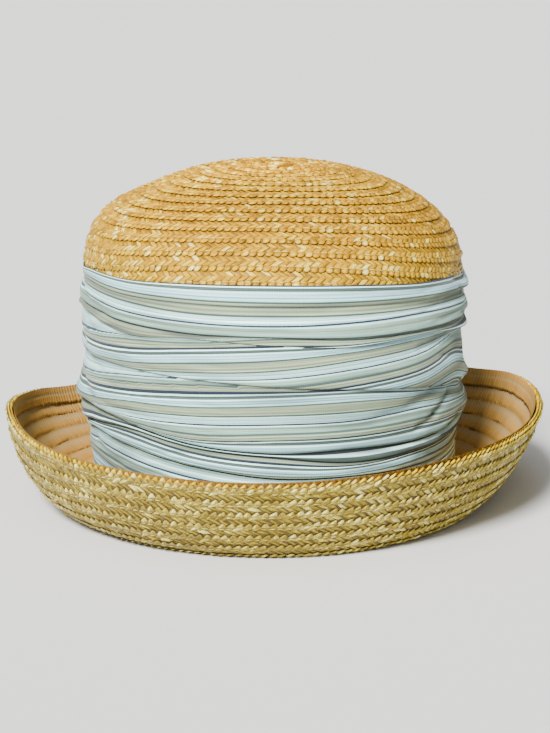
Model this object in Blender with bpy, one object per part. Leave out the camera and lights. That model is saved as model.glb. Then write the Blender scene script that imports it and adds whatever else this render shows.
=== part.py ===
# Straw cloche hat: a domed crown and an upturned brim of sewn straw braid,
# an extra braid laid inside the rim, and a wide ruched sash round the crown.
# Metres, +Z up, front of the hat towards -Y, the table at z = 0.
import math

import bmesh
import bpy

# Driving dimensions of the crown
crown_half_width = 0.0860      # shoulder, side to side, outside
crown_half_length = 0.1030     # shoulder, front to back, outside
crown_height = 0.1531          # table to tip
dome_height = 0.0455           # shoulder to tip
straw_wall = 0.0012            # wall under the overlaps of the braid
braid_pitch = 0.00715          # visible width of one row of braid
braid_step = 0.0009            # how far each row stands over the next
braid_ledge = 0.0003           # length of the little step between two rows
dome_rows = 15                 # rows above the one that runs under the sash

# Driving dimensions of the brim
brim_reach = 0.0405            # crown foot to rim, level
rim_height = 0.0400            # mean height of the rim over the table
brim_wall = 0.0013             # wall under the overlaps of the braid
brim_foot = 0.0105             # flat ring that the hat stands on, at the front
brim_rows = 8                  # rows of braid from the foot to the rim
rim_straightness = 0.5         # how far the rim's slope is held, as a share of its height
collar_height = 0.0090         # brim edge turned up inside the crown
collar_bend = 0.0012           # round under the collar

# Driving dimensions of the braid inside the rim
facing_width = 0.0080          # depth down the inside of the brim
facing_wall = 0.0012           # thickness of the braid
facing_rise = 0.0012           # how far it stands above the rim
facing_fullness = 0.3          # swell of its middle, as a share of its thickness

# Driving dimensions of the sash
sash_cloth = 0.0013            # layers of cloth at the bottom of a tuck
tuck_depth = 0.0021            # how far a full tuck stands over that
tuck_lip = 0.0011              # length of the step under a tuck
tuck_root = 0.1                # what stays proud under a tuck, as a share of its depth
top_hem = 0.3                  # fullness of the top edge, as a share of tuck_depth
bottom_hem = 0.4               # and of the bottom edge
sash_cover = 0.0056            # braid that shows between the last row and the sash
sash_floor_gap = 0.0020        # sash's lower edge over the brim

clearance = 0.0003             # gap between pieces that touch

# How finely the rings are cut
straw_sides = 48
sash_sides = 72
line_samples = 64
wall_samples = 32
crown_inner_rings = 11
brim_inner_rings = 7

shoulder_height = crown_height - dome_height
crown_wall = straw_wall + braid_step
brim_thickness = brim_wall + braid_step
crown_foot = brim_thickness + clearance

# The crown by direction, 0 at the front and 90 towards +X. width is a share of
# the shoulder's oval, power is the exponent of the dome's curve, 2 for a true
# ellipse, and sink is how far its slope is pressed in, as a share of its rise.
dome_columns = ("azimuth", "width", "power", "sink")
dome_table = (
    (0, 1.000, 2.12, 0.00),
    (90, 0.996, 2.08, 0.00),
    (180, 1.000, 2.12, 0.00),
    (235, 1.004, 2.28, 0.05),
    (270, 1.008, 2.42, 0.09),
    (310, 1.004, 2.28, 0.05),
)

# Outline of the wall under the shoulder, foot first.
# height is a share of the shoulder height, width of the shoulder's oval.
wall_columns = ("height", "width")
wall_table = (
    (0.00, 0.962),
    (0.18, 0.966),
    (0.45, 0.982),
    (0.75, 0.996),
    (1.00, 1.000),
)

# The brim by direction. lift is a share of rim_height, foot of brim_foot,
# lean is the rim's slope from upright in degrees, and belly is how far the
# flat foot runs on into the curve, as a share of the brim left outside it.
brim_columns = ("azimuth", "lift", "foot", "lean", "belly")
brim_table = (
    (0, 0.94, 1.00, 34, 0.20),
    (40, 1.03, 0.84, 28, 0.28),
    (66, 1.06, 0.64, 20, 0.38),
    (90, 1.12, 0.60, 16, 0.42),
    (112, 1.10, 0.55, 16, 0.40),
    (133, 0.95, 0.75, 22, 0.35),
    (180, 0.84, 1.00, 30, 0.25),
    (229, 0.76, 0.75, 22, 0.35),
    (248, 0.91, 0.60, 12, 0.45),
    (275, 1.07, 0.60, 3, 0.52),
    (301, 0.99, 0.86, 8, 0.52),
    (328, 0.96, 1.00, 20, 0.40),
)

# The sash's tucks, top first. Each row is one tuck: its height at five
# directions, as shares of the shoulder height, and how deep it is at the
# front, right, back and left, as shares of tuck_depth.
tuck_columns = ("left", "front_left", "front", "front_right", "right", "back",
                "deep_front", "deep_right", "deep_back", "deep_left")
tuck_table = (
    (0.869, 0.880, 0.875, 0.858, 0.842, 0.865, 0.90, 1.00, 0.80, 0.60),
    (0.735, 0.775, 0.825, 0.788, 0.763, 0.765, 0.80, 1.15, 0.80, 0.60),
    (0.625, 0.665, 0.700, 0.712, 0.685, 0.665, 0.60, 0.60, 0.70, 0.70),
    (0.545, 0.596, 0.645, 0.612, 0.548, 0.570, 1.10, 1.25, 0.90, 0.75),
    (0.475, 0.492, 0.495, 0.500, 0.470, 0.475, 0.50, 0.50, 0.70, 1.40),
    (0.392, 0.415, 0.398, 0.395, 0.385, 0.390, 1.20, 0.70, 0.90, 1.40),
    (0.312, 0.325, 0.298, 0.325, 0.312, 0.300, 1.00, 0.60, 0.80, 0.80),
    (0.180, 0.175, 0.160, 0.175, 0.180, 0.175, 0.80, 0.50, 0.70, 0.60),
)

# Rings of the wall that the sash covers, as shares of the way down it,
# closer together where the wall still rounds into the dome.
wall_shares = (0.0, 0.05, 0.12, 0.22, 0.40, 0.68, 1.0)


def column(table, columns, name):
    """One named column of a table."""
    place = columns.index(name)
    return [row[place] for row in table]


def smooth_between(places, values, at, turn=None):
    """A smooth curve through the values, round a full turn if one is given."""
    count = len(places)
    if turn:
        at = at % turn
        spots = [(places[k % count] + turn * (k // count), values[k % count])
                 for k in range(-2, count + 3)]
    else:
        spots = list(zip(places, values))
        spots = [spots[0]] + spots + [spots[-1]]
    for k in range(1, len(spots) - 2):
        (x0, y0), (x1, y1), (x2, y2), (x3, y3) = spots[k - 1:k + 3]
        if x1 <= at <= x2:
            span = x2 - x1
            share = (at - x1) / span
            slope1 = (y2 - y0) / (x2 - x0)
            slope2 = (y3 - y1) / (x3 - x1)
            cube = share ** 3
            square = share ** 2
            return ((2 * cube - 3 * square + 1) * y1
                    + (cube - 2 * square + share) * span * slope1
                    + (3 * square - 2 * cube) * y2
                    + (cube - square) * span * slope2)
    return values[-1]


def by_direction(table, columns, name, turn_share):
    """A column of a table that goes round the hat, at a share of the turn."""
    return smooth_between(column(table, columns, "azimuth"),
                          column(table, columns, name), 360 * turn_share, 360)


def oval_radius(turn_share, half_width, half_length):
    """Distance from the middle to an oval, in a direction."""
    angle = 2 * math.pi * turn_share
    return 1 / math.hypot(math.sin(angle) / half_width, math.cos(angle) / half_length)


class Line:
    """A section line in an upright plane through the middle, by its length."""

    def __init__(self, points):
        self.points = points
        self.marks = [0.0]
        for one, two in zip(points, points[1:]):
            self.marks.append(self.marks[-1] + math.dist(one, two))
        self.length = self.marks[-1]

    def at(self, along, lift=0.0):
        """The point at a length along the line, lifted to its left side."""
        along = min(max(along, 0.0), self.length)
        k = 1
        while k < len(self.marks) - 1 and self.marks[k] < along:
            k += 1
        share = (along - self.marks[k - 1]) / (self.marks[k] - self.marks[k - 1])
        (r1, z1), (r2, z2) = self.points[k - 1], self.points[k]
        before = self.points[max(k - 2, 0)]
        after = self.points[min(k + 1, len(self.points) - 1)]
        run = (1 - share) * (r2 - before[0]) + share * (after[0] - r1)
        climb = (1 - share) * (z2 - before[1]) + share * (after[1] - z1)
        size = math.hypot(run, climb)
        return (r1 + share * (r2 - r1) - lift * climb / size,
                z1 + share * (z2 - z1) + lift * run / size)

    def along_height(self, height):
        """The length at which the falling line reaches a height."""
        for k in range(1, len(self.points)):
            high, low = self.points[k - 1][1], self.points[k][1]
            if low <= height:
                share = (high - height) / (high - low)
                return self.marks[k - 1] + share * (self.marks[k] - self.marks[k - 1])
        return self.length


def shoulder_radius(turn_share):
    """The crown's outline at its shoulder."""
    share = by_direction(dome_table, dome_columns, "width", turn_share)
    return share * oval_radius(turn_share, crown_half_width, crown_half_length)


def crown_line(turn_share):
    """The crown's outline from its tip down to its foot."""
    shoulder = shoulder_radius(turn_share)
    power = 2 / by_direction(dome_table, dome_columns, "power", turn_share)
    sink = by_direction(dome_table, dome_columns, "sink", turn_share)
    points = []
    for k in range(line_samples + 1):
        angle = math.pi / 2 * k / line_samples
        out = math.sin(angle) ** power
        rise = max(math.cos(angle), 0.0) ** power
        rise -= sink * rise * math.sin(math.pi * out ** 2) ** 2
        points.append((shoulder * out, shoulder_height + dome_height * rise))
    heights = column(wall_table, wall_columns, "height")
    widths = column(wall_table, wall_columns, "width")
    for k in range(1, wall_samples + 1):
        height = shoulder_height + (crown_foot - shoulder_height) * k / wall_samples
        width = smooth_between(heights, widths, height / shoulder_height)
        points.append((shoulder * width, height))
    return Line(points)


def wall_marks(line):
    """Lengths down the crown's wall from the sash's top edge to its bottom."""
    top = dome_rows * braid_pitch + sash_cover
    bottom = line.along_height(crown_foot + sash_floor_gap)
    return [top + (bottom - top) * share for share in wall_shares]


def foot_share():
    """Width of the crown at its foot, as a share of the shoulder's."""
    return column(wall_table, wall_columns, "width")[0]


def foot_radius(turn_share):
    """The crown's outline at its foot, which the brim follows."""
    return foot_share() * shoulder_radius(turn_share)


def rim_radius(turn_share):
    """The brim's outline at the rim, a true oval."""
    return brim_reach + foot_share() * oval_radius(turn_share, crown_half_width,
                                                   crown_half_length)


def brim_line(turn_share):
    """The brim's underside from the crown's foot out and up to the rim."""
    foot = foot_radius(turn_share)
    flat = brim_foot * by_direction(brim_table, brim_columns, "foot", turn_share)
    top = rim_height * by_direction(brim_table, brim_columns, "lift", turn_share)
    lean = math.radians(by_direction(brim_table, brim_columns, "lean", turn_share))
    belly = by_direction(brim_table, brim_columns, "belly", turn_share)
    start = (foot + flat, 0.0)
    end = (rim_radius(turn_share), top)
    start_pull = (start[0] + belly * (end[0] - start[0]), 0.0)
    held = rim_straightness * top
    end_pull = (end[0] - held * math.sin(lean), top - held * math.cos(lean))
    points = [(foot, 0.0)]
    for k in range(line_samples + 1):
        share = k / line_samples
        rest = 1 - share
        weights = (rest ** 3, 3 * rest ** 2 * share, 3 * rest * share ** 2, share ** 3)
        spots = (start, start_pull, end_pull, end)
        points.append(tuple(sum(w * p[axis] for w, p in zip(weights, spots))
                            for axis in (0, 1)))
    return Line(points)


def loft(name, sides, section, closed):
    """A solid through the same section points at every direction.

    section gives the points for a share of the turn. A closed section makes a
    ring. An open one starts and ends on the middle line, at a single point.
    """
    sections = [section(k / sides) for k in range(sides)]
    mesh = bmesh.new()
    rings = []
    for place in range(len(sections[0])):
        ring = []
        for k, points in enumerate(sections):
            radius, height = points[place]
            angle = 2 * math.pi * k / sides
            ring.append(mesh.verts.new((radius * math.sin(angle),
                                        -radius * math.cos(angle), height)))
            if radius == 0.0:
                break
        rings.append(ring)
    pairs = list(zip(rings, rings[1:]))
    if closed:
        pairs.append((rings[-1], rings[0]))
    for one, two in pairs:
        for k in range(sides):
            after = (k + 1) % sides
            if len(one) == 1:
                mesh.faces.new((one[0], two[k], two[after]))
            elif len(two) == 1:
                mesh.faces.new((one[k], two[0], one[after]))
            else:
                mesh.faces.new((one[k], two[k], two[after], one[after]))
    bmesh.ops.recalc_face_normals(mesh, faces=mesh.faces)
    data = bpy.data.meshes.new(name)
    mesh.to_mesh(data)
    mesh.free()
    data.shade_smooth()
    data.set_sharp_from_angle(angle=math.radians(50))
    piece = bpy.data.objects.new(name, data)
    hat.objects.link(piece)
    return piece


def crown_section(turn_share):
    """Ribbed outside from the tip down, then the plain inside back up."""
    line = crown_line(turn_share)
    points = [(0.0, crown_height - braid_step)]
    for row in range(1, dome_rows + 1):
        edge = row * braid_pitch
        points.append(line.at(edge))
        points.append(line.at(edge + braid_ledge, -braid_step))
    for along in wall_marks(line):
        points.append(line.at(along, -braid_step))
    foot = line.at(line.length)
    points.append((foot[0] - braid_step, foot[1]))
    points.append((line.at(line.length, -crown_wall)[0], foot[1]))
    for k in range(1, crown_inner_rings):
        points.append(line.at(line.length * (1 - k / crown_inner_rings), -crown_wall))
    points.append((0.0, crown_height - crown_wall))
    return points


def brim_section(turn_share):
    """Collar, flat foot and ribbed outside up to the rim, then the inside."""
    line = brim_line(turn_share)
    foot = foot_radius(turn_share)
    collar_outer = foot - crown_wall - clearance
    collar_inner = collar_outer - brim_wall
    points = [(collar_inner, collar_height),
              (collar_inner, collar_bend),
              (collar_inner + collar_bend, 0.0)]
    row_width = line.length / brim_rows
    for row in range(1, brim_rows + 1):
        edge = row * row_width
        points.append(line.at(edge))
        if row < brim_rows:
            points.append(line.at(edge + braid_ledge, braid_step))
    flat = line.marks[1]
    for k in range(brim_inner_rings):
        along = line.length - (line.length - flat) * k / brim_inner_rings
        points.append(line.at(along, brim_thickness))
    points.append((collar_outer, brim_thickness))
    points.append((collar_outer, collar_height))
    return points


def facing_section(turn_share):
    """The braid that is laid inside the rim, with its edge over the rim."""
    line = brim_line(turn_share)
    near = brim_thickness + clearance
    far = near + facing_wall
    end = line.length
    low = end - facing_width
    middle = end - 0.5 * facing_width
    top_outer = line.at(end, near)
    rim = line.at(end)
    before = line.at(end - facing_rise)
    rise = (rim[0] - before[0], rim[1] - before[1])
    top_inner = line.at(end, far)
    return [
        (top_outer[0] + rise[0], top_outer[1] + rise[1]),
        line.at(middle, near),
        line.at(low, near),
        line.at(low, far),
        line.at(middle, far + facing_fullness * facing_wall),
        (top_inner[0] + rise[0], top_inner[1] + rise[1]),
    ]


def tuck_value(row, names, places, turn_share):
    """A tuck's value round the hat, from the named columns."""
    values = [row[tuck_columns.index(name)] for name in names]
    return smooth_between(places, values, 360 * turn_share, 360)


def sash_section(turn_share):
    """The sash's tucked outside from its top edge down, then its plain back."""
    line = crown_line(turn_share)
    back = clearance - braid_step
    outer = back + sash_cloth
    marks = wall_marks(line)
    top = marks[0]
    bottom = marks[-1]
    points = [line.at(top, back),
              line.at(top, back + sash_cloth / 2),
              line.at(top + sash_cloth / 2, outer + top_hem * tuck_depth)]
    for row in tuck_table:
        share = tuck_value(row, tuck_columns[:6], (270, 315, 0, 45, 90, 180), turn_share)
        depth = tuck_depth * tuck_value(row, tuck_columns[6:], (0, 90, 180, 270), turn_share)
        fold = line.along_height(share * shoulder_height)
        points.append(line.at(fold - tuck_lip, outer + depth))
        points.append(line.at(fold + tuck_lip, outer + tuck_root * tuck_depth))
    points.append(line.at(bottom - sash_cloth, outer + bottom_hem * tuck_depth))
    points.append(line.at(bottom, back + sash_cloth / 2))
    for along in reversed(marks[1:]):
        points.append(line.at(along, back))
    return points


def finish(piece, color, roughness):
    """A plain material in the piece's own colour."""
    material = bpy.data.materials.new(piece.name)
    material.use_nodes = True
    shader = material.node_tree.nodes["Principled BSDF"]
    shader.inputs["Base Color"].default_value = (*color, 1.0)
    shader.inputs["Roughness"].default_value = roughness
    shader.inputs["Metallic"].default_value = 0.0
    material.diffuse_color = (*color, 1.0)
    piece.data.materials.append(material)


for old in list(bpy.data.objects):
    bpy.data.objects.remove(old, do_unlink=True)
hat = bpy.data.collections.new("straw_cloche_hat")
bpy.context.scene.collection.children.link(hat)

crown = loft("crown", straw_sides, crown_section, closed=False)
finish(crown, (0.62, 0.36, 0.12), 0.45)

brim = loft("brim", straw_sides, brim_section, closed=True)
finish(brim, (0.55, 0.37, 0.13), 0.45)

rim_facing = loft("rim_facing", straw_sides, facing_section, closed=True)
finish(rim_facing, (0.60, 0.36, 0.10), 0.45)

sash = loft("sash", sash_sides, sash_section, closed=True)
finish(sash, (0.58, 0.66, 0.68), 0.85)
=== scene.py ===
import math

import bmesh
import bpy
import numpy as np
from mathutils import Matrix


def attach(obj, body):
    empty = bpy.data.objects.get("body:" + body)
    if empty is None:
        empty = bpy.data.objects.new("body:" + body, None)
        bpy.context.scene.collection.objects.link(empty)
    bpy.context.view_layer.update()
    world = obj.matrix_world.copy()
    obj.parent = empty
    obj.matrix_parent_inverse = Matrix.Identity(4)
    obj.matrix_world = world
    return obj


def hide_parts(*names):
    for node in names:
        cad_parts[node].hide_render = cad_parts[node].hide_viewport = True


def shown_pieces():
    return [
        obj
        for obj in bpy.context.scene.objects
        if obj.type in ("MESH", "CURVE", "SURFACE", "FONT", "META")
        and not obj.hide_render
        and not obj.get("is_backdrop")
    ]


# A straw cloche hat: plaited straw sewn in rows over a thin wall, an extra plait
# inside the rim, and a ruched striped sash. Metres, +Z up, the front towards -Y.
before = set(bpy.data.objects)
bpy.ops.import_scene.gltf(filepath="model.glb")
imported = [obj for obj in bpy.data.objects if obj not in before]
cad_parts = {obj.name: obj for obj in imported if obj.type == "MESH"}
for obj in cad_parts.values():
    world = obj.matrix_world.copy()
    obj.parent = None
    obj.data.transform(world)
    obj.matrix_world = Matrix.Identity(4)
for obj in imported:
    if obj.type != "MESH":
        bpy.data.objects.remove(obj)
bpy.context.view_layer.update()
mm = 0.001

# The sizes and tables that the frame was made from, so that every row of plait
# and every fold of the sash lies on the same lines as the solids.
hatSizes = {
    "crownHalfWidth": 0.0860,
    "crownHalfLength": 0.1030,
    "crownHeight": 0.1531,
    "domeHeight": 0.0455,
    "rowPitch": 0.00715,        # visible width of one row of plait on the crown
    "rowStep": 0.0009,          # how far each row stands over the next
    "crownWall": 0.0021,
    "brimReach": 0.0405,
    "rimHeight": 0.0400,
    "brimThickness": 0.0022,
    "brimFoot": 0.0105,
    "brimRows": 8,
    "rimStraightness": 0.5,
    "collarHeight": 0.0090,
    "collarBend": 0.0012,
    "collarWall": 0.0013,
    "facingWidth": 0.0080,
    "facingWall": 0.0012,
    "facingRise": 0.0012,
    "clearance": 0.0003,
}
domeNames = ("azimuth", "width", "power", "sink")
domeTable = (
    (0, 1.000, 2.12, 0.00),
    (90, 0.996, 2.08, 0.00),
    (180, 1.000, 2.12, 0.00),
    (235, 1.004, 2.28, 0.05),
    (270, 1.008, 2.42, 0.09),
    (310, 1.004, 2.28, 0.05),
)
wallNames = ("height", "width")
wallTable = ((0.00, 0.962), (0.18, 0.966), (0.45, 0.982), (0.75, 0.996), (1.00, 1.000))
brimNames = ("azimuth", "lift", "foot", "lean", "belly")
brimTable = (
    (0, 0.94, 1.00, 34, 0.20),
    (40, 1.03, 0.84, 28, 0.28),
    (66, 1.06, 0.64, 20, 0.38),
    (90, 1.12, 0.60, 16, 0.42),
    (112, 1.10, 0.55, 16, 0.40),
    (133, 0.95, 0.75, 22, 0.35),
    (180, 0.84, 1.00, 30, 0.25),
    (229, 0.76, 0.75, 22, 0.35),
    (248, 0.91, 0.60, 12, 0.45),
    (275, 1.07, 0.60, 3, 0.52),
    (301, 0.99, 0.86, 8, 0.52),
    (328, 0.96, 1.00, 20, 0.40),
)


# Curves through the tables

def columnOf(table, names, name):
    return np.array([row[names.index(name)] for row in table], float)


def smoothCurve(places, values, at, turn=None):
    # A smooth curve through the values, round a full turn where one is given
    places = np.asarray(places, float)
    values = np.asarray(values, float)
    at = np.asarray(at, float)
    if turn:
        at = at % turn
        places = np.concatenate((places[-2:] - turn, places, places[:3] + turn))
        values = np.concatenate((values[-2:], values, values[:3]))
    else:
        places = np.concatenate((places[:1], places, places[-1:]))
        values = np.concatenate((values[:1], values, values[-1:]))
    k = np.clip(np.searchsorted(places, at, side="right") - 1, 1, len(places) - 3)
    span = places[k + 1] - places[k]
    share = np.clip((at - places[k]) / span, 0, 1)
    slopeIn = (values[k + 1] - values[k - 1]) / (places[k + 1] - places[k - 1])
    slopeOut = (values[k + 2] - values[k]) / (places[k + 2] - places[k])
    cube, square = share ** 3, share ** 2
    return ((2 * cube - 3 * square + 1) * values[k] + (3 * square - 2 * cube) * values[k + 1]
            + ((cube - 2 * square + share) * slopeIn + (cube - square) * slopeOut) * span)


def roundTheHat(table, names, name, turns):
    return smoothCurve(columnOf(table, names, "azimuth"), columnOf(table, names, name),
                       360 * turns, 360)


def ovalRadius(turns, halfWidth, halfLength):
    angle = 2 * math.pi * turns
    return 1 / np.hypot(np.sin(angle) / halfWidth, np.cos(angle) / halfLength)


def wave(x):
    # A soft unit step from 0 to 1
    x = np.clip(x, 0, 1)
    return x * x * (3 - 2 * x)


def softNoise(x, y, seed, octaves=3, around=64):
    # Smooth value noise on the plane, about -1 to 1. It repeats in x after a
    # whole number of cells, so that it closes round the hat.
    lattice = np.random.default_rng(seed).uniform(-1, 1, (around * 2 ** octaves, 64))
    total, size, norm = 0.0, 1.0, 0.0
    for _ in range(octaves):
        i, j = np.floor(x).astype(int), np.floor(y).astype(int)
        u, v = wave(x - i), wave(y - j)
        i, after, j = i % around, (i + 1) % around, j % 64
        near = lattice[i, j] * (1 - u) + lattice[after, j] * u
        far = lattice[i, (j + 1) % 64] * (1 - u) + lattice[after, (j + 1) % 64] * u
        total = total + size * (near * (1 - v) + far * v)
        norm += size
        x, y, size, around = 2 * x, 2 * y, size / 2, 2 * around
    return total / norm


class Skin:
    # A surface of the hat, by the turn, the length along its section and a lift
    # to the left side of that section. Lengths are metres or shares of the line.

    turnCount = 720

    def __init__(self, radius, height, spacing=None):
        run = np.hypot(np.diff(radius, axis=1), np.diff(height, axis=1))
        marks = np.concatenate((np.zeros((len(run), 1)), np.cumsum(run, axis=1)), axis=1)
        self.length = marks[:, -1]
        self.rawRadius, self.rawHeight = radius, height
        samples = 440
        self.top = 1.0 if spacing is None else spacing * samples
        scale = self.length if spacing is None else np.full(len(run), self.top)
        steps = np.linspace(0, 1, samples + 1)
        self.radius = np.array([np.interp(steps * s, m, r) for s, m, r in zip(scale, marks, radius)])
        self.height = np.array([np.interp(steps * s, m, z) for s, m, z in zip(scale, marks, height)])
        outward, upward = np.gradient(self.radius, axis=1), np.gradient(self.height, axis=1)
        size = np.maximum(np.hypot(outward, upward), 1e-12)
        self.normalRadius, self.normalHeight = -upward / size, outward / size

    def sample(self, grid, turns, along):
        t = (turns % 1) * self.turnCount
        s = np.clip(along / self.top, 0, 1) * (grid.shape[1] - 1)
        i, j = np.floor(t).astype(int), np.minimum(np.floor(s).astype(int), grid.shape[1] - 2)
        u, v = t - i, s - j
        i, after = i % self.turnCount, (i + 1) % self.turnCount
        return ((grid[i, j] * (1 - u) + grid[after, j] * u) * (1 - v)
                + (grid[i, j + 1] * (1 - u) + grid[after, j + 1] * u) * v)

    def place(self, turns, along, lift):
        turns, along, lift = np.broadcast_arrays(turns, along, lift)
        r = self.sample(self.radius, turns, along) + lift * self.sample(self.normalRadius, turns, along)
        z = self.sample(self.height, turns, along) + lift * self.sample(self.normalHeight, turns, along)
        angle = 2 * math.pi * turns
        return np.stack((r * np.sin(angle), -r * np.cos(angle), z), axis=-1)

    def lengthAt(self, turns):
        whole = np.append(self.length, self.length[0])
        return np.interp(turns % 1, np.linspace(0, 1, self.turnCount + 1), whole)


def makeCrownSkin():
    s = hatSizes
    turns = np.arange(Skin.turnCount) / Skin.turnCount
    shoulder = (roundTheHat(domeTable, domeNames, "width", turns)
                * ovalRadius(turns, s["crownHalfWidth"], s["crownHalfLength"]))[:, None]
    power = 2 / roundTheHat(domeTable, domeNames, "power", turns)[:, None]
    sink = roundTheHat(domeTable, domeNames, "sink", turns)[:, None]
    angle = np.linspace(0, math.pi / 2, 121)[None, :]
    out = np.sin(angle) ** power
    rise = np.maximum(np.cos(angle), 0) ** power
    rise = rise * (1 - sink * np.sin(math.pi * out ** 2) ** 2)
    shoulderHeight = s["crownHeight"] - s["domeHeight"]
    foot = s["brimThickness"] + s["clearance"]
    levels = np.linspace(shoulderHeight, foot, 61)[None, 1:]
    widths = smoothCurve(columnOf(wallTable, wallNames, "height"),
                         columnOf(wallTable, wallNames, "width"), levels / shoulderHeight)
    radius = np.concatenate((shoulder * out, shoulder * widths), axis=1)
    height = np.concatenate((shoulderHeight + s["domeHeight"] * rise,
                             np.repeat(levels, len(turns), axis=0)), axis=1)
    return Skin(radius, height, spacing=0.0005)


def makeBrimSkin():
    s = hatSizes
    turns = np.arange(Skin.turnCount) / Skin.turnCount
    footShare = wallTable[0][1]
    foot = (footShare * roundTheHat(domeTable, domeNames, "width", turns)
            * ovalRadius(turns, s["crownHalfWidth"], s["crownHalfLength"]))
    rim = s["brimReach"] + footShare * ovalRadius(turns, s["crownHalfWidth"], s["crownHalfLength"])
    flat = s["brimFoot"] * roundTheHat(brimTable, brimNames, "foot", turns)
    top = s["rimHeight"] * roundTheHat(brimTable, brimNames, "lift", turns)
    lean = np.radians(roundTheHat(brimTable, brimNames, "lean", turns))
    belly = roundTheHat(brimTable, brimNames, "belly", turns)
    held = s["rimStraightness"] * top
    pulls = [(foot + flat, 0 * top),
             (foot + flat + belly * (rim - foot - flat), 0 * top),
             (rim - held * np.sin(lean), top - held * np.cos(lean)),
             (rim, top)]
    share = np.linspace(0, 1, 97)[None, :]
    weights = ((1 - share) ** 3, 3 * (1 - share) ** 2 * share,
               3 * (1 - share) * share ** 2, share ** 3)
    radius = sum(w * p[0][:, None] for w, p in zip(weights, pulls))
    height = sum(w * p[1][:, None] for w, p in zip(weights, pulls))
    radius = np.concatenate((foot[:, None], radius), axis=1)
    height = np.concatenate((0 * foot[:, None], height), axis=1)
    return Skin(radius, height)


crownSkin = makeCrownSkin()
brimSkin = makeBrimSkin()
print("skins of crown and brim: lengths", crownSkin.length[:1], brimSkin.length[:1])


# Shader maths as plain sums

class Wire:
    def __init__(self, paint, socket):
        self.paint = paint
        self.socket = socket

    def math(self, operation, *others, swap=False):
        parts = (*others, self) if swap else (self, *others)
        return self.paint.node("ShaderNodeMath", {"operation": operation}, dict(enumerate(parts)))

    def __add__(self, other):
        return self.math("ADD", other)

    def __radd__(self, other):
        return self.math("ADD", other)

    def __sub__(self, other):
        return self.math("SUBTRACT", other)

    def __rsub__(self, other):
        return self.math("SUBTRACT", other, swap=True)

    def __mul__(self, other):
        return self.math("MULTIPLY", other)

    def __rmul__(self, other):
        return self.math("MULTIPLY", other)

    def __truediv__(self, other):
        return self.math("DIVIDE", other)

    def __pow__(self, other):
        return self.math("POWER", other)

    def clamped(self):
        return self.math("MAXIMUM", 0.0).math("MINIMUM", 1.0)


class Paint:

    def __init__(self, name, roughness=0.5, **fixed):
        self.material = bpy.data.materials.new(name)
        self.material.use_nodes = True
        self.tree = self.material.node_tree
        self.shader = self.tree.nodes["Principled BSDF"]
        self.shader.inputs["Roughness"].default_value = roughness
        for key, value in fixed.items():
            self.shader.inputs[key.replace("_", " ")].default_value = value

    def put(self, socket, value):
        if isinstance(value, Wire):
            self.tree.links.new(value.socket, socket)
        elif isinstance(value, tuple) and len(value) == 3 and socket.type == "RGBA":
            socket.default_value = (*value, 1.0)
        else:
            socket.default_value = value

    def node(self, kind, settings, values, out=0):
        made = self.tree.nodes.new(kind)
        for name, value in settings.items():
            if name == "stops":
                while len(made.color_ramp.elements) < len(value):
                    made.color_ramp.elements.new(0.5)
                for element, (spot, color) in zip(made.color_ramp.elements, value):
                    element.position = spot
                    element.color = (*color, 1.0)
            elif name == "steps":
                made.color_ramp.interpolation = value
            else:
                setattr(made, name, value)
        for key, value in values.items():
            self.put(made.inputs[key], value)
        return Wire(self, made.outputs[out])

    def attribute(self, name):
        return self.node("ShaderNodeAttribute", {"attribute_name": name}, {}, out="Fac")

    def uv(self, name):
        return self.split(self.node("ShaderNodeUVMap", {"uv_map": name}, {}))

    def where(self):
        return self.node("ShaderNodeTexCoord", {}, {}, out="Object")

    def split(self, vector):
        apart = self.tree.nodes.new("ShaderNodeSeparateXYZ")
        self.tree.links.new(vector.socket, apart.inputs[0])
        return [Wire(self, socket) for socket in apart.outputs]

    def join(self, x, y, z):
        return self.node("ShaderNodeCombineXYZ", {}, {0: x, 1: y, 2: z})

    def noise(self, vector, scale, detail=2.0, roughness=0.5):
        return self.node("ShaderNodeTexNoise", {}, {"Vector": vector, "Scale": scale,
                                                    "Detail": detail, "Roughness": roughness})

    def ramp(self, value, stops, steps="LINEAR"):
        return self.node("ShaderNodeValToRGB", {"stops": stops, "steps": steps}, {0: value})

    def mix(self, share, one, two):
        return self.node("ShaderNodeMix", {"data_type": "RGBA"}, {0: share, 6: one, 7: two}, out=2)

    def bump(self, height, distance, strength):
        return self.node("ShaderNodeBump", {}, {"Height": height, "Distance": distance,
                                                "Strength": strength})

    def finish(self, **links):
        for key, value in links.items():
            self.put(self.shader.inputs[key.replace("_", " ")], value)
        return self.material


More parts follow.
